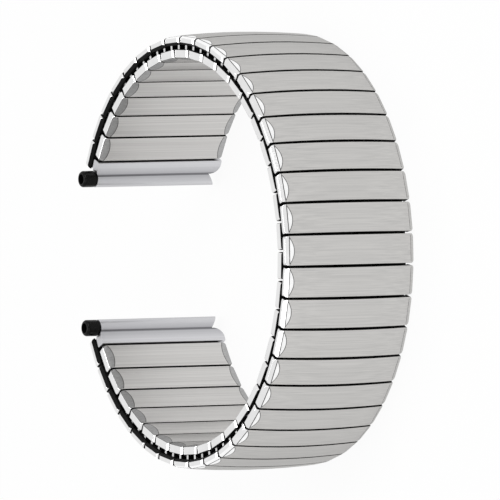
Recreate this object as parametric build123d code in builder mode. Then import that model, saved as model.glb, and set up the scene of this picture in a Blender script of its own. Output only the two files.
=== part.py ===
from build123d import *
import os
from math import cos, radians, sin

# Expansion watch band, lying on its side edge as an open ring.
# Lengths are millimetres and angles are degrees. Z runs across the band, from its back edge to its front edge.
# Angles round the ring are read from +X. The opening for the watch case faces -X.

# The ring
band_width = 19.4
ring_radius = 29.0
opening_angle = 48.4
segment_count = 12
links_per_segment = 3
outer_link_count = segment_count * links_per_segment + 1
link_angle = (360 - opening_angle) / outer_link_count
overrun = 0.5

# Outer links: closed flat sleeves with a crowned face that is bevelled down at both ends
outer_width = 3.9
outer_height = 1.45
outer_crown = 0.09
outer_face_round = 0.28
outer_floor_round = 0.42
outer_bevel_depth = 0.22
outer_bevel_length = 0.9
outer_end_round = 0.12
sleeve_wall = 0.2
end_wall = 0.22

# Inner links: the same kind of sleeve, shorter at both ends, with a bevel at both ends of the wrist face
row_gap = 0.58
inner_width = 3.55
inner_height = 1.4
inner_inset = 0.27
wrist_wall = 0.3
inner_round = 0.28
end_bevel_depth = 0.28
end_bevel_length = 1.0

# Staples: a bow with two round legs, one leg in each row
wire_diameter = 0.45
leg_length = 4.2
bow_thickness = 0.4
wire_clearance = 0.04
bow_clearance = 0.06
notch_relief = 0.12

# Leaf springs: bowed strips that press the legs against the sleeve walls
leaf_width = 2.7
leaf_thickness = 0.12
leaf_clearance = 0.03
leaf_end_gap = 0.4

# End shells: a tongue like half an inner link, and the tube that holds the lug plugs.
# The tube is cut back at its neck, deeply at the back and a little at the front.
tongue_taper = 0.2
tube_radius = 1.12
tube_depth = 0.47
tube_reach = 0.94
back_neck = 1.6
back_tube_inset = 0.45
front_neck = 0.3
front_tube_inset = 0.25
neck_start = 1.0
neck_end = -0.15
neck_round = 1.4
shell_round = 0.22

# Lug plugs: plastic bushes that slide out of the tube to fill the space between the lugs.
# The front ones have a head as thick as the tube, and the back ones stay inside it.
plug_radius = 0.92
plug_length = 5.0
plug_clearance = 0.04
plug_head_radius = 1.1
plug_head_length = 1.7
plug_head_gap = 0.03
plug_nose_round = 0.36
spring_bar_bore_radius = 0.68
back_plug_inset = 0.3

# Radii of the rows and of the legs, worked out from the ring's outside inwards
outer_floor_radius = ring_radius - outer_height
inner_top_radius = outer_floor_radius - row_gap
wrist_radius = inner_top_radius - inner_height
wire_radius = wire_diameter / 2
outer_leg_radius = outer_floor_radius + sleeve_wall + wire_clearance + wire_radius
inner_leg_radius = inner_top_radius - sleeve_wall - wire_clearance - wire_radius
staple_angle = link_angle / 4
first_link_angle = 180 - opening_angle / 2 - link_angle / 2
middle = band_width / 2
inner_length = band_width - 2 * inner_inset
seat_start = inner_inset + end_wall
bow_start = seat_start + bow_clearance
notch_length = bow_thickness + 2 * bow_clearance
notch_depth = sleeve_wall + notch_relief


def outer_angle(index):
    """Angle round the ring of an outer link, counted from the upper end."""
    return first_link_angle - index * link_angle


def inner_angle(index):
    """Angle of the inner link that bridges outer links index and index + 1."""
    return outer_angle(index) - link_angle / 2


def leg_offset(radius):
    """Sideways place of a leg in its own link, whose centre is a quarter pitch away."""
    return radius * sin(radians(staple_angle))


def leg_height(radius):
    """Radial place of a leg in its own link."""
    return radius * cos(radians(staple_angle))


# Each piece is drawn where +Y points away from the ring's axis and +X runs along the band.

# Outer link
outer_side_top = ring_radius - outer_crown
outer_notch_edge = leg_offset(outer_leg_radius) - wire_radius - bow_clearance
outer_notch_width = outer_width / 2 + overrun - outer_notch_edge
with BuildPart() as outer_link:
    with BuildSketch():
        with BuildLine():
            Polyline(
                (-outer_width / 2, outer_side_top),
                (-outer_width / 2, outer_floor_radius),
                (outer_width / 2, outer_floor_radius),
                (outer_width / 2, outer_side_top),
            )
            ThreePointArc((outer_width / 2, outer_side_top), (0, ring_radius), (-outer_width / 2, outer_side_top))
        make_face()
    extrude(amount=band_width)
    corner_edges = outer_link.edges().filter_by(Axis.Z).group_by(Axis.Y)
    fillet(corner_edges[-1], radius=outer_face_round)
    corner_edges = outer_link.edges().filter_by(Axis.Z).group_by(Axis.Y)
    fillet(corner_edges[0], radius=outer_floor_round)
    with BuildSketch(Plane.YZ):
        with BuildLine():
            Polyline(
                (ring_radius - outer_bevel_depth, 0),
                (ring_radius, outer_bevel_length),
                (ring_radius + overrun, outer_bevel_length),
                (ring_radius + overrun, 0),
                close=True,
            )
        make_face()
        mirror(about=Plane.XZ.offset(-middle))
    extrude(amount=outer_width, both=True, mode=Mode.SUBTRACT)
    end_faces = outer_link.faces().sort_by(Axis.Z)
    fillet(end_faces[0].edges() + end_faces[-1].edges(), radius=outer_end_round)
    cavity_height = outer_height - outer_crown - 2 * sleeve_wall
    with Locations((0, outer_floor_radius + sleeve_wall + cavity_height / 2, middle)):
        Box(outer_width - 2 * sleeve_wall, cavity_height, band_width - 2 * seat_start, mode=Mode.SUBTRACT)
    for side in (-1, 1):
        for notch_start in (seat_start, band_width - seat_start - notch_length):
            with Locations((
                side * (outer_notch_edge + outer_notch_width / 2),
                outer_floor_radius + notch_depth / 2 - overrun / 2,
                notch_start + notch_length / 2,
            )):
                Box(outer_notch_width, notch_depth + overrun, notch_length, mode=Mode.SUBTRACT)

# Inner link
inner_notch_edge = leg_offset(inner_leg_radius) - wire_radius - bow_clearance
inner_notch_width = inner_width / 2 + overrun - inner_notch_edge
with BuildPart() as inner_link:
    with BuildSketch(Plane.XY.offset(inner_inset)):
        with Locations((0, wrist_radius + inner_height / 2)):
            RectangleRounded(inner_width, inner_height, inner_round)
    extrude(amount=inner_length)
    with BuildSketch(Plane.YZ):
        with BuildLine():
            Polyline(
                (wrist_radius, inner_inset),
                (wrist_radius + end_bevel_depth, inner_inset),
                (wrist_radius, inner_inset + end_bevel_length),
                close=True,
            )
        make_face()
        mirror(about=Plane.XZ.offset(-middle))
    extrude(amount=inner_width, both=True, mode=Mode.SUBTRACT)
    inner_cavity_height = inner_height - sleeve_wall - wrist_wall
    with Locations((0, wrist_radius + wrist_wall + inner_cavity_height / 2, middle)):
        Box(inner_width - 2 * sleeve_wall, inner_cavity_height, band_width - 2 * seat_start, mode=Mode.SUBTRACT)
    for side in (-1, 1):
        for notch_start in (seat_start, band_width - seat_start - notch_length):
            with Locations((
                side * (inner_notch_edge + inner_notch_width / 2),
                inner_top_radius - notch_depth / 2 + overrun / 2,
                notch_start + notch_length / 2,
            )):
                Box(inner_notch_width, notch_depth + overrun, notch_length, mode=Mode.SUBTRACT)

# Pair of staples at one place along the band, one at each side edge
leg_span = outer_leg_radius - inner_leg_radius
with BuildPart() as staple_pair:
    with BuildSketch(Plane.XY.offset(bow_start)):
        with Locations((0, inner_leg_radius + leg_span / 2)):
            SlotCenterToCenter(leg_span, wire_diameter, rotation=90)
    extrude(amount=bow_thickness)
    with BuildSketch(Plane.XY.offset(bow_start)):
        with Locations((0, inner_leg_radius), (0, outer_leg_radius)):
            Circle(wire_radius)
    extrude(amount=leg_length)
    mirror(about=Plane.XY.offset(middle))

# Leaf spring of an outer link: its tips rest on the legs and its middle on the sleeve's face wall
leaf_start = seat_start + leaf_end_gap
outer_leaf_tip = leg_height(outer_leg_radius) + wire_radius + leaf_clearance
outer_leaf_crest = outer_side_top - sleeve_wall - leaf_thickness - leaf_clearance
with BuildPart() as outer_leaf:
    with BuildSketch(Plane.YZ):
        with BuildLine():
            ThreePointArc(
                (outer_leaf_tip, leaf_start),
                (outer_leaf_crest, middle),
                (outer_leaf_tip, band_width - leaf_start),
            )
            ThreePointArc(
                (outer_leaf_tip + leaf_thickness, leaf_start),
                (outer_leaf_crest + leaf_thickness, middle),
                (outer_leaf_tip + leaf_thickness, band_width - leaf_start),
            )
            Line((outer_leaf_tip, leaf_start), (outer_leaf_tip + leaf_thickness, leaf_start))
            Line(
                (outer_leaf_tip, band_width - leaf_start),
                (outer_leaf_tip + leaf_thickness, band_width - leaf_start),
            )
        make_face()
    extrude(amount=leaf_width / 2, both=True)

# Leaf spring of an inner link, bowed the other way
inner_leaf_tip = leg_height(inner_leg_radius) - wire_radius - leaf_clearance
inner_leaf_crest = wrist_radius + wrist_wall + leaf_thickness + leaf_clearance
with BuildPart() as inner_leaf:
    with BuildSketch(Plane.YZ):
        with BuildLine():
            ThreePointArc(
                (inner_leaf_tip, leaf_start),
                (inner_leaf_crest, middle),
                (inner_leaf_tip, band_width - leaf_start),
            )
            ThreePointArc(
                (inner_leaf_tip - leaf_thickness, leaf_start),
                (inner_leaf_crest - leaf_thickness, middle),
                (inner_leaf_tip - leaf_thickness, band_width - leaf_start),
            )
            Line((inner_leaf_tip, leaf_start), (inner_leaf_tip - leaf_thickness, leaf_start))
            Line(
                (inner_leaf_tip, band_width - leaf_start),
                (inner_leaf_tip - leaf_thickness, band_width - leaf_start),
            )
        make_face()
    extrude(amount=leaf_width / 2, both=True)

# End shell, drawn where the inner link before the first one would be
tube_centre = (-tube_reach, inner_top_radius - tube_depth)
tongue_floor = wrist_radius + tongue_taper
eye = (leg_offset(inner_leg_radius), leg_height(inner_leg_radius))
eye_slot_width = wire_diameter + 2 * (bow_clearance + wire_clearance)
tube_end = -tube_reach - tube_radius
back_edge_of_shell = inner_inset
front_edge_of_shell = band_width - inner_inset
with BuildPart() as end_shell:
    with BuildSketch(Plane.XY.offset(inner_inset)) as shell_section:
        with BuildLine():
            Polyline(
                (inner_width / 2, inner_top_radius),
                (-tube_reach, inner_top_radius),
                (-tube_reach, tongue_floor),
                (inner_width / 2, wrist_radius),
                close=True,
            )
        make_face()
        fillet(shell_section.vertices().group_by(Axis.X)[-1], radius=shell_round)
        with Locations(tube_centre):
            Circle(tube_radius)
    extrude(amount=inner_length)
    for edge, inwards, neck, tube_inset in (
        (back_edge_of_shell, 1, back_neck, back_tube_inset),
        (front_edge_of_shell, -1, front_neck, front_tube_inset),
    ):
        with BuildSketch(Plane.XZ):
            with BuildLine():
                Polyline(
                    (neck_end, edge + inwards * neck),
                    (tube_end, edge + inwards * tube_inset),
                    (tube_end - overrun, edge + inwards * tube_inset),
                    (tube_end - overrun, edge - inwards * overrun),
                    (neck_start, edge - inwards * overrun),
                    (neck_start, edge),
                )
                RadiusArc((neck_start, edge), (neck_end, edge + inwards * neck), inwards * neck_round)
            make_face()
        extrude(amount=-2 * ring_radius, mode=Mode.SUBTRACT)
    with BuildSketch():
        with Locations(tube_centre):
            Circle(plug_radius + plug_clearance)
    extrude(amount=band_width, mode=Mode.SUBTRACT)
    for eye_start in (seat_start, band_width - seat_start - leg_length - 2 * bow_clearance):
        with BuildSketch(Plane.XY.offset(eye_start)):
            with Locations(eye):
                Circle(wire_radius + wire_clearance)
        extrude(amount=leg_length + 2 * bow_clearance, mode=Mode.SUBTRACT)
    for slot_start in (seat_start, band_width - seat_start - notch_length):
        with Locations((eye[0], inner_top_radius, slot_start + notch_length / 2)):
            Box(eye_slot_width, 2 * (inner_top_radius - eye[1]), notch_length, mode=Mode.SUBTRACT)

# Front lug plug: a stem in the tube and a round-nosed head before the tube's front end
head_start = front_edge_of_shell + plug_head_gap
with BuildPart() as front_plug:
    with BuildSketch(Plane.XY.offset(head_start)):
        with Locations(tube_centre):
            Circle(plug_head_radius)
    extrude(amount=plug_head_length)
    fillet(front_plug.edges().group_by(Axis.Z)[-1], radius=plug_nose_round)
    with BuildSketch(Plane.XY.offset(head_start)):
        with Locations(tube_centre):
            Circle(plug_radius)
    extrude(amount=-plug_length)
    with BuildSketch(Plane.XY.offset(head_start - plug_length)):
        with Locations(tube_centre):
            Circle(spring_bar_bore_radius)
    extrude(amount=plug_length + plug_head_length, mode=Mode.SUBTRACT)

# Back lug plug: a plain bush that lies inside the tube
back_plug_start = back_edge_of_shell + back_neck + back_plug_inset
with BuildPart() as back_plug:
    with BuildSketch(Plane.XY.offset(back_plug_start)):
        with Locations(tube_centre):
            Circle(plug_radius)
            Circle(spring_bar_bore_radius, mode=Mode.SUBTRACT)
    extrude(amount=plug_length)

# The ring's centre lies where the whole band's box is centred on X = 0
end_angle = inner_angle(-1)
first_link = outer_link.part.moved(Rotation(0, 0, outer_angle(0) - 90))
first_shell = end_shell.part.moved(Rotation(0, 0, end_angle - 90))
least_x = min(first_link.bounding_box().min.X, first_shell.bounding_box().min.X)
ring_centre_x = -(ring_radius + least_x) / 2


def place(angle, lift=0):
    """Where a piece goes that is turned to an angle round the ring."""
    return Location((ring_centre_x, 0, lift), (0, 0, angle - 90))


def write_node(name, pieces):
    """Writes the pieces as one node, each at its own places."""
    with BuildPart() as node:
        for shape, places in pieces:
            with Locations(*places):
                add(shape)
    node.part.label = name
    export_step(node.part, f"parts/{name}.step")


def is_stretch_joint(boundary):
    """Odd joints between segments stretch and even ones bend. Joint 1 lies between segments 1 and 2."""
    return boundary % 2 == 1


os.makedirs("parts", exist_ok=True)

# Segments of the band, with a stretch joint's staples in a node of their own
for segment in range(1, segment_count + 1):
    first = (segment - 1) * links_per_segment
    extra = 1 if segment == segment_count else 0
    outer_links = range(first, first + links_per_segment + extra)
    inner_links = range(first, first + links_per_segment)
    outer_places = [place(outer_angle(index)) for index in outer_links]
    inner_places = [place(inner_angle(index)) for index in inner_links]
    leading = [place(outer_angle(index) - staple_angle) for index in outer_links]
    trailing = [place(outer_angle(index) + staple_angle) for index in outer_links]
    if is_stretch_joint(segment - 1):
        stretch_number = segment // 2
        write_node(f"stretch_staples_{stretch_number}", [(staple_pair.part, trailing[:1])])
        trailing = trailing[1:]
    write_node(f"outer_links_{segment:02d}", [(outer_link.part, outer_places)])
    write_node(f"inner_links_{segment:02d}", [(inner_link.part, inner_places)])
    write_node(f"leaf_springs_{segment:02d}", [(outer_leaf.part, outer_places), (inner_leaf.part, inner_places)])
    write_node(f"staples_{segment:02d}", [(staple_pair.part, leading + trailing)])

# End shells and their plugs. The lower end is the upper one's mirror image.
for piece_name, piece in (("shell", end_shell), ("front_plug", front_plug), ("back_plug", back_plug)):
    upper = piece.part.moved(place(end_angle))
    write_node(f"upper_{piece_name}", [(upper, [Location()])])
    write_node(f"lower_{piece_name}", [(upper.mirror(Plane.XZ), [Location()])])

print("link pitch", round(link_angle, 3), "degrees; ring centre x", round(ring_centre_x, 3))
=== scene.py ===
# %% [markdown]
# # An expansion watch band
#
# This notebook dresses an expansion watch band: two rows of flat steel sleeves, held together by
# small steel staples, with an end shell and two black lug plugs at each end. The engineering model
# is loaded first and never moved. Each step then makes one visible piece, or one finish, on top.

# %% Load the band
from math import cos, radians, sin

import bmesh
import bpy
from mathutils import Matrix, Vector


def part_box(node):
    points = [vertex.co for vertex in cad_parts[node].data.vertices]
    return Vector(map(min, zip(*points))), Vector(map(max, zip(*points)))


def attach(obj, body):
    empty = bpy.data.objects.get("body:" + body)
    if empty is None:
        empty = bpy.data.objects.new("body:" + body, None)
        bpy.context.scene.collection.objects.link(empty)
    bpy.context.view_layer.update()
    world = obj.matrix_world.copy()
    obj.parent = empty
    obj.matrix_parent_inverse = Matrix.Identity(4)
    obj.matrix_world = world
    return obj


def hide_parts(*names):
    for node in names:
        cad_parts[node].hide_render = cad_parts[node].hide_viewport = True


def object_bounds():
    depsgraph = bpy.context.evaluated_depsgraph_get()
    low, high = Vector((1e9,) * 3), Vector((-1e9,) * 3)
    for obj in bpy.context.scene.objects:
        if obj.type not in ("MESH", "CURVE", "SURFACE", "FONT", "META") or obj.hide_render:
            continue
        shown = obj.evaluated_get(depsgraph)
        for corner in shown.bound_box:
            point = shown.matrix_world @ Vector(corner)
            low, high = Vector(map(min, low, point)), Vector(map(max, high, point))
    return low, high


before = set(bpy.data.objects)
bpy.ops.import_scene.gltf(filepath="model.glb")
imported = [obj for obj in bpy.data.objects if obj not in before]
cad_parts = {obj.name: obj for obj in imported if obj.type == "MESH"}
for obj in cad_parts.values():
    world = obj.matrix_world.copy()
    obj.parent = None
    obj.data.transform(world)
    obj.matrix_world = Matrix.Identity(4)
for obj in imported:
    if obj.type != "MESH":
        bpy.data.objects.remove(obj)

cad_low, cad_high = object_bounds()
mm = 0.001
tiny = 0.01 * mm
print("size in mm", [round(side / mm, 2) for side in cad_high - cad_low])

# %% [markdown]
# ## The ring's own sizes
#
# The band lies on its side edge, so its width runs along Z. The links stand round a circle whose
# centre is a little nearer to the opening than the origin is, and the loaded model tells where. 37
# outer links fill the circle except for the opening, where the watch case goes. Angles are in
# degrees.

# %% Sizes of the ring
middle_link_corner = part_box("outer_links_07")[1]
band_width = middle_link_corner.z
ring_radius = 29.0 * mm
ring_centre_x = middle_link_corner.x - ring_radius
opening_angle = 48.4
outer_link_count = 37
link_angle = (360 - opening_angle) / outer_link_count
first_link_angle = 180 - opening_angle / 2 - link_angle / 2
print("width", round(band_width / mm, 3), "mm and centre at", round(ring_centre_x / mm, 3), "mm")
print("pitch", round(link_angle, 3), "degrees")


def outer_angle(index):
    """Angle round the ring of an outer link, counted from the upper end."""
    return first_link_angle - index * link_angle


def inner_angle(index):
    """Angle of the inner link that bridges outer links index and index + 1."""
    return outer_angle(index) - link_angle / 2


# %% [markdown]
# ## Tools for modelling by hand
#
# Every new piece is made in edit mode, the way a person would make it: add a block, cut it with
# planes, pick points, edges or faces by where they are, and move or bevel them. Operators act on
# what is selected, so each helper sets the selection itself.

# %% Helpers that select and start
def nothing_selected():
    """Leaves edit mode and clears the selection."""
    if bpy.context.object and bpy.context.object.mode == "EDIT":
        bpy.ops.object.mode_set(mode="OBJECT")
    bpy.ops.object.select_all(action="DESELECT")


def select_only(piece):
    """Leaves edit mode and makes this piece the only selected one, and the active one."""
    nothing_selected()
    piece.select_set(True)
    bpy.context.view_layer.objects.active = piece


def add_block(size, centre):
    """Adds a block of this size at this place. Its origin stays at the world's origin."""
    nothing_selected()
    bpy.ops.mesh.primitive_cube_add(size=1, location=centre, scale=size)
    bpy.ops.object.transform_apply(location=True, rotation=True, scale=True)
    return bpy.context.object


def pick(kind, test):
    """Selects the vertices, edges or faces for which test(element) is true, in edit mode."""
    bpy.ops.mesh.select_mode(type=kind)
    bpy.ops.mesh.select_all(action="DESELECT")
    mesh = bmesh.from_edit_mesh(bpy.context.object.data)
    parts = {"VERT": mesh.verts, "EDGE": mesh.edges, "FACE": mesh.faces}[kind]
    found = [part for part in parts if test(part)]
    for part in found:
        part.select_set(True)
    mesh.select_flush_mode()
    bmesh.update_edit_mesh(bpy.context.object.data)
    return len(found)


# %% Helpers that cut and weld
cut_threshold = 0.001 * mm
smooth_angle = 12


def slice_at(point, normal, remove=False):
    """Cuts the whole piece with a plane, in edit mode.

    With remove, what lies on the normal's side goes and one face closes the cut.
    """
    plane_normal = Vector(normal).normalized()
    bpy.ops.mesh.select_all(action="SELECT")
    bpy.ops.mesh.bisect(
        plane_co=point, plane_no=plane_normal, clear_outer=remove, threshold=cut_threshold
    )
    if remove:
        pick("EDGE", lambda edge: edge.is_boundary)
        bpy.ops.mesh.edge_face_add()


def weld(distance):
    """Merges points that lie this close together and turns all faces outwards, in edit mode."""
    bpy.ops.mesh.select_all(action="SELECT")
    bpy.ops.mesh.remove_doubles(threshold=distance)
    bpy.ops.mesh.normals_make_consistent(inside=False)


def apply_bevel(piece, width, segments, angle):
    """Rounds every edge sharper than the angle with a Bevel modifier, and applies it."""
    bevel = piece.modifiers.new("rounding", "BEVEL")
    bevel.width = width
    bevel.segments = segments
    bevel.limit_method = "ANGLE"
    bevel.angle_limit = radians(angle)
    bevel.use_clamp_overlap = True
    select_only(piece)
    bpy.ops.object.modifier_apply(modifier="rounding")


def cut_out(piece, blocks):
    """Cuts blocks, each a size and a centre, out of the piece and shades it smooth again."""
    for size, centre in blocks:
        cutter = add_block(size, centre)
        cut = piece.modifiers.new("cut", "BOOLEAN")
        cut.operation = "DIFFERENCE"
        cut.solver = "EXACT"
        cut.object = cutter
        select_only(piece)
        bpy.ops.object.modifier_apply(modifier="cut")
        bpy.data.objects.remove(cutter)
    bpy.ops.object.shade_smooth_by_angle(angle=radians(smooth_angle))


def describe(piece):
    """A line about a piece. An edge is open if it doesn't join exactly two faces."""
    mesh = bmesh.new()
    mesh.from_mesh(piece.data)
    open_edges = sum(not edge.is_manifold for edge in mesh.edges)
    mesh.free()
    return f"{piece.name}: {len(piece.data.polygons)} faces and {open_edges} open edges"


# %% [markdown]
# ## Finishes
#
# Three kinds of surface make the links: faces brushed along each link, ends polished bright, and
# hidden sides, painted nearly black for the shade that falls between the links. Brushing is a noise
# drawn out some three hundred times along Z. It changes the colour, the roughness and the height a
# little. All patterns read Object coordinates, which are the band's own metres, so the lines stay
# where they are when a link moves.

# %% Helpers for node materials
def grey(level):
    """A neutral colour."""
    return (level, level, level)


def new_material(name):
    """Returns a material, its nodes, its links, its surface shader and its object coordinates."""
    material = bpy.data.materials.new(name)
    material.use_nodes = True
    nodes, links = material.node_tree.nodes, material.node_tree.links
    nodes.clear()
    output = nodes.new("ShaderNodeOutputMaterial")
    shader = nodes.new("ShaderNodeBsdfPrincipled")
    place = nodes.new("ShaderNodeTexCoord")
    links.new(shader.outputs["BSDF"], output.inputs["Surface"])
    return material, nodes, links, shader, place.outputs["Object"]


def noise(nodes, links, place, scale, stretch, detail):
    """A noise with this many cells per metre. A stretch below 1 draws them out along that axis."""
    mapping = nodes.new("ShaderNodeMapping")
    mapping.inputs["Scale"].default_value = stretch
    texture = nodes.new("ShaderNodeTexNoise")
    texture.inputs["Scale"].default_value = scale
    texture.inputs["Detail"].default_value = detail
    links.new(place, mapping.inputs["Vector"])
    links.new(mapping.outputs["Vector"], texture.inputs["Vector"])
    return texture.outputs["Fac"]


def spread(nodes, links, value, low, high, source=(0.35, 0.65)):
    """Maps a value from its source range, which is a noise's middle by default, to low to high."""
    remap = nodes.new("ShaderNodeMapRange")
    remap.inputs["From Min"].default_value = source[0]
    remap.inputs["From Max"].default_value = source[1]
    remap.inputs["To Min"].default_value = low
    remap.inputs["To Max"].default_value = high
    links.new(value, remap.inputs["Value"])
    return remap.outputs["Result"]


def two_colours(nodes, links, value, dark, light, positions=(0.3, 0.7)):
    """Mixes two colours by a value."""
    ramp = nodes.new("ShaderNodeValToRGB")
    for stop, position, colour in zip(ramp.color_ramp.elements, positions, (dark, light)):
        stop.position = position
        stop.color = (*colour, 1)
    links.new(value, ramp.inputs["Fac"])
    return ramp.outputs["Color"]


def calculate(nodes, links, operation, first, second=None):
    """A Math node on one socket and, if given, a second socket or number."""
    node = nodes.new("ShaderNodeMath")
    node.operation = operation
    links.new(first, node.inputs[0])
    if isinstance(second, (int, float)):
        node.inputs[1].default_value = second
    elif second is not None:
        links.new(second, node.inputs[1])
    return node.outputs[0]


def add_bump(nodes, links, shader, value, strength, distance):
    """Lets a value raise the surface a little."""
    bump = nodes.new("ShaderNodeBump")
    bump.inputs["Strength"].default_value = strength
    bump.inputs["Distance"].default_value = distance
    links.new(value, bump.inputs["Height"])
    links.new(bump.outputs["Normal"], shader.inputs["Normal"])


# %% Brushed steel
brushing_stretch = (1, 1, 0.003)


def brushed_steel(name, dark, light, rough_low, rough_high):
    """Steel brushed along Z: fine lines over broader ones."""
    material, nodes, links, shader, place = new_material(name)
    shader.inputs["Metallic"].default_value = 1.0
    shader.inputs["Specular Tint"].default_value = (*grey(0.7), 1)
    fine = noise(nodes, links, place, scale=11000, stretch=brushing_stretch, detail=3)
    broad = noise(nodes, links, place, scale=5200, stretch=brushing_stretch, detail=1)
    mean = calculate(nodes, links, "MULTIPLY", calculate(nodes, links, "ADD", fine, broad), 0.5)
    links.new(two_colours(nodes, links, mean, dark, light), shader.inputs["Base Color"])
    links.new(spread(nodes, links, fine, rough_low, rough_high), shader.inputs["Roughness"])
    add_bump(nodes, links, shader, fine, strength=0.12, distance=0.02 * mm)
    return material


outer_brushed = brushed_steel(
    "outer face, brushed",
    dark=(0.5, 0.495, 0.485), light=(0.64, 0.63, 0.615), rough_low=0.34, rough_high=0.44,
)
inner_brushed = brushed_steel(
    "wrist face, brushed",
    dark=(0.54, 0.53, 0.52), light=(0.74, 0.73, 0.715), rough_low=0.36, rough_high=0.46,
)
# The wrist bevel is satin steel painted darker than the wrist face: painted shade on the bevel.
satin_bevel_painted_shade = brushed_steel(
    "wrist bevel, satin with painted shade", dark=grey(0.36), light=grey(0.52), rough_low=0.3, rough_high=0.42
)
shell_satin = brushed_steel(
    "end shell, satin",
    dark=(0.62, 0.62, 0.64), light=(0.7, 0.7, 0.72), rough_low=0.3, rough_high=0.36,
)
print("brushed:", [m.name for m in (outer_brushed, inner_brushed, satin_bevel_painted_shade, shell_satin)])

# %% [markdown]
# The ends are polished on a wheel. Polished steel is nearly white where it mirrors a pale room,
# with a very slight waviness and a few hairlines, so it doesn't look like a perfect mirror. The
# staples are polished too, and the leaf springs inside the links are rolled strip, seen only
# through the notches. A thin dark line, a painted dark reflection, edges each facet.

# %% Polished steel
def polished_steel(name, dark, light, roughness, hairline_roughness=0.08):
    """Steel polished on a wheel, with a faint waviness."""
    material, nodes, links, shader, place = new_material(name)
    shader.inputs["Metallic"].default_value = 1.0
    wave = noise(nodes, links, place, scale=900, stretch=(1, 1, 0.6), detail=2)
    hairline = noise(nodes, links, place, scale=5000, stretch=(1, 1, 0.1), detail=3)
    rough = spread(nodes, links, hairline, roughness, roughness + hairline_roughness)
    links.new(two_colours(nodes, links, wave, dark, light), shader.inputs["Base Color"])
    links.new(rough, shader.inputs["Roughness"])
    add_bump(nodes, links, shader, wave, strength=0.08, distance=0.03 * mm)
    return material


end_polish = polished_steel("link end, polished", grey(0.95), grey(1.0), roughness=0.1)
facet_polish = polished_steel("end facet, polished", grey(0.9), grey(1.0), roughness=0.12)
# The dark line along each facet's border is a painted reflection of dark surroundings.
painted_dark_edge = polished_steel("edge of the polish, painted dark reflection", grey(0.1), grey(0.16), roughness=0.3)
staple_polish = polished_steel("staple, polished", grey(0.74), grey(0.9), roughness=0.12)
spring_strip = polished_steel(
    "spring strip, rolled", (0.3, 0.3, 0.32), (0.42, 0.42, 0.44), roughness=0.25
)
print("polished:", [m.name for m in (end_polish, facet_polish, staple_polish, spring_strip)])

# %% [markdown]
# The sides and floors of the sleeves are never polished. They are painted nearly black as shade,
# the shade that makes the narrow gaps between the links look nearly black. The lug plugs are black
# plastic with a fine orange-peel surface and a soft gloss.

# %% Painted shade and black plastic
dull_gloss = 0.12


def dull_finish(name, dark, light, scale, stretch, detail, rough_low, rough_high, relief):
    """A surface that isn't metallic, with blotches of this size, and a relief of this strength."""
    material, nodes, links, shader, place = new_material(name)
    shader.inputs["Specular IOR Level"].default_value = dull_gloss
    blotch = noise(nodes, links, place, scale, stretch, detail)
    links.new(two_colours(nodes, links, blotch, dark, light), shader.inputs["Base Color"])
    links.new(spread(nodes, links, blotch, rough_low, rough_high), shader.inputs["Roughness"])
    add_bump(nodes, links, shader, blotch, strength=relief, distance=0.01 * mm)
    return material


# The sleeves' sides and floors are painted nearly black: painted shade for the gaps between the
# links.
painted_shade_side = dull_finish(
    "sleeve side, painted shade", grey(0.001), grey(0.005),
    scale=1200, stretch=(1, 1, 0.4), detail=4, rough_low=0.5, rough_high=0.75, relief=0.2,
)
plug_plastic = dull_finish(
    "lug plug, black plastic", grey(0.002), grey(0.005),
    scale=2500, stretch=(1, 1, 1), detail=3, rough_low=0.22, rough_high=0.34, relief=0.1,
)
print("dark:", painted_shade_side.name, "and", plug_plastic.name)

# %% [markdown]
# ## An outer link
#
# The real link is a folded steel sleeve. Its face is brushed, slightly crowned across and bowed
# along its length, and its four corners are rounded. Each end falls away in two slopes, a facet and
# a steeper nose. At the front they are polished, and at the back they stay as plain as the face.
#
# It is drawn once, at the top of the ring, where +Y is outwards: a block gets its corners bevelled,
# its face crowned and bowed by moving columns and rows of points, and its ends cut by sloping
# planes. A crown cut by a flat facet has an arc for its border by itself.

# %% Sizes of the outer link
outer_width = 3.9 * mm
outer_height = 1.45 * mm
outer_floor = ring_radius - outer_height
middle = band_width / 2
corner_round = 0.42 * mm
outer_crown = 0.09 * mm  # the face's sides lie this much lower than its middle line
bow = 0.45 * mm  # the face's ends lie this much lower than its middle
bow_rise = 0.2 * mm  # the face's middle stands this much above the ring's radius
facet_start = 1.25 * mm  # the facet, the nose and the floor's bevel begin this far from the end
facet_drop = 0.14 * mm
nose_start = 0.55 * mm
nose_drop = 0.26 * mm
floor_bevel = 0.35 * mm
line_half_width = 0.05 * mm
edge_round = 0.08 * mm
print("outer link", [round(size / mm, 2) for size in (outer_width, outer_height, band_width)])

# %% Start a link as a block
corner_segments = 3
side_columns = 4
column_step = 0.16  # of half the link's width


def upright_corner(edge):
    """True for the four short edges that stand at the corners of a link's outline."""
    a, b = edge.verts[0].co, edge.verts[1].co
    return abs(a.x - b.x) < tiny and abs(a.z - b.z) < tiny


def start_link(name, size, centre, corner):
    """Makes a block with round corners, cut into columns, and stays in edit mode on it."""
    link = add_block(size, centre)
    link.name = name
    bpy.ops.object.mode_set(mode="EDIT")
    corners = pick("EDGE", upright_corner)
    bpy.ops.mesh.bevel(offset=corner, segments=corner_segments, affect="EDGES")
    for column in range(-side_columns, side_columns + 1):
        slice_at((column * column_step * size[0] / 2, 0, 0), (1, 0, 0))
    print(name, "has", corners, "round corners and", 2 * side_columns + 1, "cuts along it")
    return link


outer_link = start_link(
    "outer_link",
    (outer_width, outer_height, band_width),
    (0, ring_radius - outer_height / 2, middle),
    corner_round,
)


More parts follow.
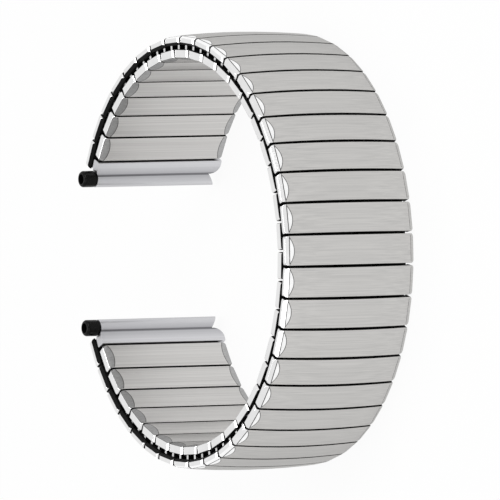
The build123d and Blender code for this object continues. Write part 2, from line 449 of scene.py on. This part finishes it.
# %% Crown the face of a link
def crown_face(face_level, crown, half_width, inwards):
    """Moves each column of points on the face's side inwards, so that the face becomes an arc."""
    half_height = outer_height / 2

    def on_face_side(v):
        return abs(v.co.y - face_level) < half_height

    mesh = bmesh.from_edit_mesh(bpy.context.object.data)
    columns = sorted({round(v.co.x / tiny) for v in mesh.verts if on_face_side(v)})
    for column in columns:
        fall = crown * (column * tiny / half_width) ** 2
        if fall < tiny / 20:
            continue
        pick("VERT", lambda v: on_face_side(v) and round(v.co.x / tiny) == column)
        bpy.ops.transform.translate(value=(0, inwards * fall, 0))
    return len(columns)


print("columns on the face", crown_face(ring_radius, outer_crown, outer_width / 2, -1))

# %% Bow the outer link along its length
row_count = 8
for row in range(1, row_count):
    slice_at((0, 0, row * band_width / row_count), (0, 0, 1))
face_side = ring_radius - outer_height / 2
mesh = bmesh.from_edit_mesh(outer_link.data)
rows = sorted({round(v.co.z / tiny) for v in mesh.verts if v.co.y > face_side})
for row in rows:
    fall = bow * ((row * tiny - middle) / middle) ** 2 - bow_rise
    pick("VERT", lambda v: round(v.co.z / tiny) == row and v.co.y > face_side)
    bpy.ops.transform.translate(value=(0, -fall, 0))
print("rows moved", len(rows), "and ends lower by", round(bow / mm, 2), "mm")

# %% Cut the slopes at each end of the outer link
bowed_level = ring_radius + bow_rise - bow * ((middle - facet_start) / middle) ** 2
facet_fall = facet_drop + bowed_level - (ring_radius + bow_rise - bow)
nose_level = bowed_level - facet_fall * (1 - nose_start / facet_start)
for end, way in ((0, -1), (band_width, 1)):
    for level, start, normal in (
        (bowed_level, facet_start, (0, facet_start, way * facet_fall)),
        (nose_level, nose_start, (0, nose_start, way * nose_drop)),
        (outer_floor, floor_bevel, (0, -1, way)),
    ):
        slice_at((0, level, end - way * start), normal, remove=True)
print("slopes cut at", round(facet_start / mm, 2), "and", round(nose_start / mm, 2), "mm")

# %% [markdown]
# The border of each slope becomes a thin strip, which later gets the painted dark line, a painted
# reflection. The sharp edges get a small round, and then the link is shaded smooth.

# %% Round the edges of a link
weld_after_cuts = 0.005 * mm
weld_at_end = 0.002 * mm
slight_bend = (radians(4), radians(31))
slope_change = 0.06
rounding_segments = 2
rounding_angle = 32


def facet_border(edge):
    """True where two faces meet at a slight bend and one slopes more towards the end."""
    if len(edge.link_faces) != 2:
        return False
    first, second = (face.normal for face in edge.link_faces)
    bends = slight_bend[0] < first.angle(second) < slight_bend[1]
    return bends and abs(abs(first.z) - abs(second.z)) > slope_change


def round_edges(link):
    """Makes strips of the slopes' borders, rounds the sharp edges and leaves edit mode."""
    weld(weld_after_cuts)
    borders = pick("EDGE", facet_border)
    bpy.ops.mesh.bevel(offset=line_half_width, segments=1, affect="EDGES")
    bpy.ops.object.mode_set(mode="OBJECT")
    apply_bevel(link, edge_round, rounding_segments, rounding_angle)
    bpy.ops.object.mode_set(mode="EDIT")
    weld(weld_at_end)
    select_only(link)
    bpy.ops.object.shade_smooth_by_angle(angle=radians(smooth_angle))
    print(describe(link), "with", borders, "border edges")


round_edges(outer_link)

# %% [markdown]
# The sleeve is hollow, and the staples go in through notches in its floor, near both ends. The same
# blocks as in the engineering model are cut out of the drawn link, so nothing runs through anything
# when the band stretches.

# %% Hollow the outer link
sleeve_wall = 0.2 * mm
end_wall = 0.22 * mm
inner_inset = 0.27 * mm  # the inner row's ends lie this much inside the outer row's
seat_start = inner_inset + end_wall
bow_thickness = 0.4 * mm
bow_clearance = 0.06 * mm
wire_radius = 0.225 * mm
wire_clearance = 0.04 * mm
notch_relief = 0.12 * mm
overshoot = 0.2 * mm  # the notches' blocks run out this much past the floor
side_overshoot = 0.3 * mm  # and this much past the sides
staple_angle = radians(link_angle / 4)  # a staple stands a quarter of the pitch from the middle
notch_length = bow_thickness + 2 * bow_clearance
notch_depth = sleeve_wall + notch_relief
outer_leg_radius = outer_floor + sleeve_wall + wire_clearance + wire_radius


def notch_blocks(width, floor_level, inwards, leg_radius):
    """The four notches of a link, as blocks that run out past its sides and its floor."""
    notch_edge = leg_radius * sin(staple_angle) - wire_radius - bow_clearance
    notch_width = width / 2 + side_overshoot - notch_edge
    level = floor_level + inwards * (notch_depth - overshoot) / 2
    size = (notch_width, notch_depth + overshoot, notch_length)
    blocks = []
    for side in (-1, 1):
        for start in (seat_start, band_width - seat_start - notch_length):
            centre = (side * (notch_edge + notch_width / 2), level, start + notch_length / 2)
            blocks.append((size, centre))
    return blocks


def cavity_block(width, height, lower_level):
    """The hollow of a link, as a block whose lower side is at the given level."""
    size = (width - 2 * sleeve_wall, height, band_width - 2 * seat_start)
    return size, (0, lower_level + height / 2, middle)


outer_cavity_height = outer_height - outer_crown - 2 * sleeve_wall
outer_cavity = cavity_block(outer_width, outer_cavity_height, outer_floor + sleeve_wall)
cut_out(outer_link, [outer_cavity] + notch_blocks(outer_width, outer_floor, 1, outer_leg_radius))
print(describe(outer_link))

# %% [markdown]
# Each face of the link gets its finish by where it points and where it lies. Most limits below are
# parts of a face's unit normal: up is the part that points the way the link's own outer or wrist
# face does, and along is the part towards an end.

# %% Give each face of a link its finish
# LINE faces get the painted dark reflection, and HIDDEN faces the painted shade of sides and
# floors.
FACE, FACET, LINE, END, HIDDEN = range(5)
strip_width = 2.6 * line_half_width
past_end_wall = 0.9 * end_wall
inside_depth = 0.6 * mm
slight, steep = 0.3, 0.6
face_along, side_of_crown = 0.11, 0.12
facet_up, line_up, back_line_up = 0.95, 0.8, 0.9


def mean_width(piece, face):
    """The width of a strip with this face's area and the length round it."""
    points = [piece.data.vertices[index].co for index in face.vertices]
    return 2 * face.area / sum((a - b).length for a, b in zip(points, points[1:] + points[:1]))


def finish_link(piece, finishes, face_level, outwards, end_inset, plain_back=False):
    """Gives each face its finish, and with plain_back none of the polish at the back end."""
    for finish in finishes:
        piece.data.materials.append(finish)
    counts = [0] * len(finishes)
    for face in piece.data.polygons:
        up = face.normal.y * outwards
        along = abs(face.normal.z)
        depth = (face_level - face.center.y) * outwards
        from_end = min(face.center.z, band_width - face.center.z) - end_inset
        narrow = mean_width(piece, face) < strip_width and along < steep
        if from_end > past_end_wall and depth > inside_depth:
            kind = HIDDEN
        elif up < -slight or (up < steep and along < slight):
            kind = HIDDEN
        elif along < face_along or (abs(face.normal.x) > side_of_crown and along < slight):
            kind = FACE
        elif up > facet_up and not narrow:
            kind = FACET
        elif up > line_up and narrow:
            kind = LINE
        else:
            kind = END
        at_back = face.center.z < middle and up > slight
        if plain_back and at_back and kind in (FACET, LINE, END):
            kind = LINE if narrow and up < back_line_up else FACE
        face.material_index = kind
        counts[kind] += 1
    print("faces by finish", dict(zip(("face", "facet", "line", "end", "hidden"), counts)))


outer_finishes = (outer_brushed, facet_polish, painted_dark_edge, end_polish, painted_shade_side)
finish_link(outer_link, outer_finishes, ring_radius, 1, 0, plain_back=True)

# %% [markdown]
# ## An inner link
#
# The inner links lie against the wrist. Each is a slightly smaller sleeve, half a step out of line
# with the outer row. Its wrist face is brushed and a little crowned, and a bevel at each end keeps
# it from catching the skin. It is drawn the same way, with the wrist face towards -Y.

# %% Sizes of the inner link
row_gap = 0.58 * mm
inner_width = 3.55 * mm
inner_height = 1.4 * mm
inner_length = band_width - 2 * inner_inset
inner_crown = 0.12 * mm
wrist_wall = 0.3 * mm
bevel_start = 1.05 * mm
bevel_drop = 0.3 * mm
inner_corner_round = 0.3 * mm
inner_top = outer_floor - row_gap
wrist_level = inner_top - inner_height
inner_leg_radius = inner_top - sleeve_wall - wire_clearance - wire_radius
print("inner link", [round(size / mm, 2) for size in (inner_width, inner_height, inner_length)])

# %% Shape the inner link
inner_link = start_link(
    "inner_link",
    (inner_width, inner_height, inner_length),
    (0, wrist_level + inner_height / 2, middle),
    inner_corner_round,
)
print("columns on the face", crown_face(wrist_level, inner_crown, inner_width / 2, 1))
for end, way in ((inner_inset, -1), (band_width - inner_inset, 1)):
    bevel_normal = (0, -bevel_start, way * bevel_drop)
    slice_at((0, wrist_level, end - way * bevel_start), bevel_normal, remove=True)
round_edges(inner_link)

# %% Hollow the inner link and give it its finishes
inner_cavity_height = inner_height - sleeve_wall - wrist_wall
inner_cavity = cavity_block(inner_width, inner_cavity_height, wrist_level + wrist_wall)
cut_out(inner_link, [inner_cavity] + notch_blocks(inner_width, inner_top, -1, inner_leg_radius))
print(describe(inner_link))
inner_finishes = (inner_brushed, satin_bevel_painted_shade, painted_dark_edge, end_polish, painted_shade_side)
finish_link(inner_link, inner_finishes, wrist_level, -1, inner_inset)

# %% [markdown]
# ## The rows of links
#
# What repeats is modelled once and copied. The engineering model keeps three neighbouring links in
# one body, and four outer ones in the last, so their copies are joined into one piece that stands
# for them and rides on that body. Each copy has its own mesh, turned to its place round the ring.
# The first and the last outer link have no neighbour on one side, and that side is brushed too.

# %% Copy the links round the ring
segment_count = 12
links_per_segment = 3


def copy_round(prototype, name, angles):
    """Joins turned copies of a prototype into one piece, whose place is in its mesh."""
    centre = Matrix.Translation((ring_centre_x, 0, 0))
    copies = []
    for angle in angles:
        copy = bpy.data.objects.new(name, prototype.data.copy())
        bpy.context.scene.collection.objects.link(copy)
        copy.data.transform(centre @ Matrix.Rotation(radians(angle - 90), 4, "Z"))
        copies.append(copy)
    nothing_selected()
    for copy in copies:
        copy.select_set(True)
    bpy.context.view_layer.objects.active = copies[0]
    bpy.ops.object.join()
    return copies[0]


def brush_free_side(piece, link_number, way):
    """Brushes the side that one of a piece's links turns to the opening."""
    turn = radians(outer_angle(link_number) - 90)
    sideways = Vector((way * cos(turn), way * sin(turn), 0))
    reach = max(sideways.dot(vertex.co) for vertex in piece.data.vertices)
    free = [f for f in piece.data.polygons if sideways.dot(f.center) > reach - 2 * tiny]
    for face in free:
        face.material_index = FACE
    print("faces on the free side of outer link", link_number, "are", len(free))


for segment in range(1, segment_count + 1):
    first = (segment - 1) * links_per_segment
    extra = 1 if segment == segment_count else 0
    body = f"segment_{segment:02d}"
    outer_angles = [outer_angle(first + n) for n in range(links_per_segment + extra)]
    inner_angles = [inner_angle(first + n) for n in range(links_per_segment)]
    outer_row = copy_round(outer_link, f"outer_sleeves_{segment:02d}", outer_angles)
    inner_row = copy_round(inner_link, f"inner_sleeves_{segment:02d}", inner_angles)
    if segment == 1:
        brush_free_side(outer_row, 0, -1)
    if segment == segment_count:
        brush_free_side(outer_row, outer_link_count - 1, 1)
    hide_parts(f"outer_links_{segment:02d}")
    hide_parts(f"inner_links_{segment:02d}")
    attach(outer_row, body)
    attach(inner_row, body)
bpy.data.objects.remove(outer_link)
bpy.data.objects.remove(inner_link)
print("segments dressed", segment_count)

# %% [markdown]
# ## Staples, springs, end shells and plugs
#
# These engineering shapes are right as they are, down to the round wire and the cut-back neck of
# the tube, so they stay and only get a finish.

# %% Finish the pieces that stay
kept_finishes = {
    "staples": staple_polish,
    "leaf_springs": spring_strip,
    "shell": shell_satin,
    "plug": plug_plastic,
}
kept_count = 0
for name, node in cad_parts.items():
    for part_of_name, finish in kept_finishes.items():
        if part_of_name in name:
            node.data.materials.clear()
            node.data.materials.append(finish)
            kept_count += 1
print("kept nodes", kept_count)

# %% [markdown]
# A groove runs along each end shell, between its tongue and its tube. Little light gets into it,
# so the satin darkens towards the groove's line. The two shells mirror each other, so one line,
# measured with the absolute value of Y, serves both.

# %% Where the groove is
end_turn = radians(inner_angle(-1) - 90)
groove_along = -0.145 * mm
groove_depth = 1.26 * mm
groove_level = inner_top - groove_depth
groove_x = ring_centre_x + groove_along * cos(end_turn) - groove_level * sin(end_turn)
groove_y = groove_along * sin(end_turn) + groove_level * cos(end_turn)
print("groove at", round(groove_x / mm, 2), round(groove_y / mm, 2))

# %% Darken the satin near the groove
shade_reach = 1.3 * mm
shade_stops = ((0.08, (0.3, 0.3, 0.31)), (0.16, (0.72, 0.72, 0.73)), (1.0, grey(1)))
mix_factor, mix_first, mix_second, mix_result = 0, 6, 7, 2

nodes, links = shell_satin.node_tree.nodes, shell_satin.node_tree.links
shell_shader = next(node for node in nodes if node.type == "BSDF_PRINCIPLED")
shell_place = next(node for node in nodes if node.type == "TEX_COORD").outputs["Object"]
steel_colour = shell_shader.inputs["Base Color"].links[0].from_socket
axes = nodes.new("ShaderNodeSeparateXYZ")
links.new(shell_place, axes.inputs["Vector"])
flat_place = nodes.new("ShaderNodeCombineXYZ")
links.new(axes.outputs["X"], flat_place.inputs["X"])
links.new(calculate(nodes, links, "ABSOLUTE", axes.outputs["Y"]), flat_place.inputs["Y"])
from_groove = nodes.new("ShaderNodeVectorMath")
from_groove.operation = "DISTANCE"
from_groove.inputs[1].default_value = (groove_x, groove_y, 0)
links.new(flat_place.outputs["Vector"], from_groove.inputs[0])
near_groove = spread(nodes, links, from_groove.outputs["Value"], 0, 1, source=(0, shade_reach))
shade = nodes.new("ShaderNodeValToRGB")
shade.color_ramp.elements.new(shade_stops[1][0])
for stop, (position, colour) in zip(shade.color_ramp.elements, shade_stops):
    stop.position = position
    stop.color = (*colour, 1)
links.new(near_groove, shade.inputs["Fac"])
shaded_steel = nodes.new("ShaderNodeMix")
shaded_steel.data_type = "RGBA"
shaded_steel.blend_type = "MULTIPLY"
shaded_steel.inputs[mix_factor].default_value = 1.0
links.new(steel_colour, shaded_steel.inputs[mix_first])
links.new(shade.outputs["Color"], shaded_steel.inputs[mix_second])
links.new(shaded_steel.outputs[mix_result], shell_shader.inputs["Base Color"])
print("shade stops", [stop.position for stop in shade.color_ramp.elements])

# %% [markdown]
# ## The room
#
# The photograph has a pure white background. The floor stays pale and keeps a soft shadow, and the
# world is white where the camera, a reflection or a transmission looks at it. Three large soft
# lamps light the band at a plain level, so a colour renders about as it is written.

# %% A helper for the floor and the world
def seen_by(tree, *rays):
    """A value that is 1 for any of these kinds of ray and 0 for all others."""
    path = tree.nodes.new("ShaderNodeLightPath")
    value = path.outputs[rays[0]]
    for ray in rays[1:]:
        value = calculate(tree.nodes, tree.links, "MAXIMUM", value, path.outputs[ray])
    return value


# %% Floor
floor_size = 4
floor_gap = 0.02 * mm
paper_grey = 0.9
glow_share = 0.93

bpy.ops.object.select_all(action="DESELECT")
bpy.ops.mesh.primitive_plane_add(size=floor_size, location=(0, 0, cad_low.z - floor_gap))
floor = bpy.context.object
floor.name = "floor"
floor_paint = bpy.data.materials.new("floor, white paper")
floor_paint.use_nodes = True
tree = floor_paint.node_tree
tree.nodes.clear()
paper = tree.nodes.new("ShaderNodeBsdfDiffuse")
paper.inputs["Color"].default_value = (*grey(paper_grey), 1)
glow = tree.nodes.new("ShaderNodeEmission")
glow.inputs["Strength"].default_value = 1.0
seen = seen_by(tree, "Is Camera Ray", "Is Glossy Ray")
share = calculate(tree.nodes, tree.links, "MULTIPLY", seen, glow_share)
blend_paper = tree.nodes.new("ShaderNodeMixShader")
tree.links.new(share, blend_paper.inputs["Fac"])
tree.links.new(paper.outputs["BSDF"], blend_paper.inputs[1])
tree.links.new(glow.outputs["Emission"], blend_paper.inputs[2])
paper_output = tree.nodes.new("ShaderNodeOutputMaterial")
tree.links.new(blend_paper.outputs["Shader"], paper_output.inputs["Surface"])
floor.data.materials.append(floor_paint)
print("floor at", round(floor.location.z / mm, 3), "mm")

# %% World
unseen_light = 0.55
seen_light = 1.0

world = bpy.data.worlds.new("white room")
bpy.context.scene.world = world
world.use_nodes = True
tree = world.node_tree
tree.nodes.clear()
seen = seen_by(tree, "Is Camera Ray", "Is Glossy Ray", "Is Transmission Ray")
strength = spread(tree.nodes, tree.links, seen, unseen_light, seen_light, source=(0, 1))
sky = tree.nodes.new("ShaderNodeBackground")
tree.links.new(strength, sky.inputs["Strength"])
world_output = tree.nodes.new("ShaderNodeOutputWorld")
tree.links.new(sky.outputs["Background"], world_output.inputs["Surface"])
print("world light", unseen_light)


# %% Lamps
def soft_lamp(name, place, size, power):
    """A large square lamp that looks at the band and isn't in the picture itself."""
    data = bpy.data.lights.new(name, "AREA")
    data.shape = "SQUARE"
    data.size = size
    data.energy = power
    lamp = bpy.data.objects.new(name, data)
    bpy.context.scene.collection.objects.link(lamp)
    lamp.location = place
    direction = Vector((0, 0, middle)) - lamp.location
    lamp.rotation_euler = direction.to_track_quat("-Z", "Y").to_euler()
    lamp.visible_camera = False
    return lamp


lamps = (
    soft_lamp("key lamp", place=(0.3, 0.45, 0.45), size=0.4, power=1.9),
    soft_lamp("fill lamp", place=(0.55, -0.3, 0.35), size=0.5, power=1.2),
    soft_lamp("top lamp", place=(-0.2, 0.0, 0.7), size=0.4, power=1.5),
)
print("lamps", [lamp.name for lamp in lamps])

# %% [markdown]
# ## The camera
#
# The photograph was taken with a long lens from the right, 29 degrees above the plane of the ring,
# with the band's upper end up in the picture. So the camera's up is +Y, turned by a degree, and
# not +Z.

# %% Camera
camera_azimuth = radians(0.31)
camera_elevation = radians(29.12)
camera_roll = radians(-1.23)
camera_distance = 2.078
focal_pixels = 15596.0
picture_pixels = 500
aside = 0.773 * mm
above = 0.107 * mm

back = Vector((
    cos(camera_elevation) * cos(camera_azimuth),
    cos(camera_elevation) * sin(camera_azimuth),
    sin(camera_elevation),
))
level_right = Vector((0, 1, 0)).cross(back).normalized()
level_up = back.cross(level_right)
right = cos(camera_roll) * level_right + sin(camera_roll) * level_up
up = cos(camera_roll) * level_up - sin(camera_roll) * level_right
target = Vector((ring_centre_x, 0, middle)) + aside * right + above * up
lens_data = bpy.data.cameras.new("long lens")
lens_data.sensor_width = 36
lens_data.lens = focal_pixels / picture_pixels * lens_data.sensor_width
lens_data.clip_end = 20
camera = bpy.data.objects.new("camera", lens_data)
bpy.context.scene.collection.objects.link(camera)
turn = Matrix((right, up, back)).transposed().to_4x4()
camera.matrix_world = Matrix.Translation(target + camera_distance * back) @ turn
bpy.context.scene.camera = camera
bpy.context.scene.view_settings.view_transform = "Standard"
print("camera at", [round(x, 3) for x in camera.location], "lens", round(lens_data.lens, 1))

# %% Update the scene
bpy.context.view_layer.update()
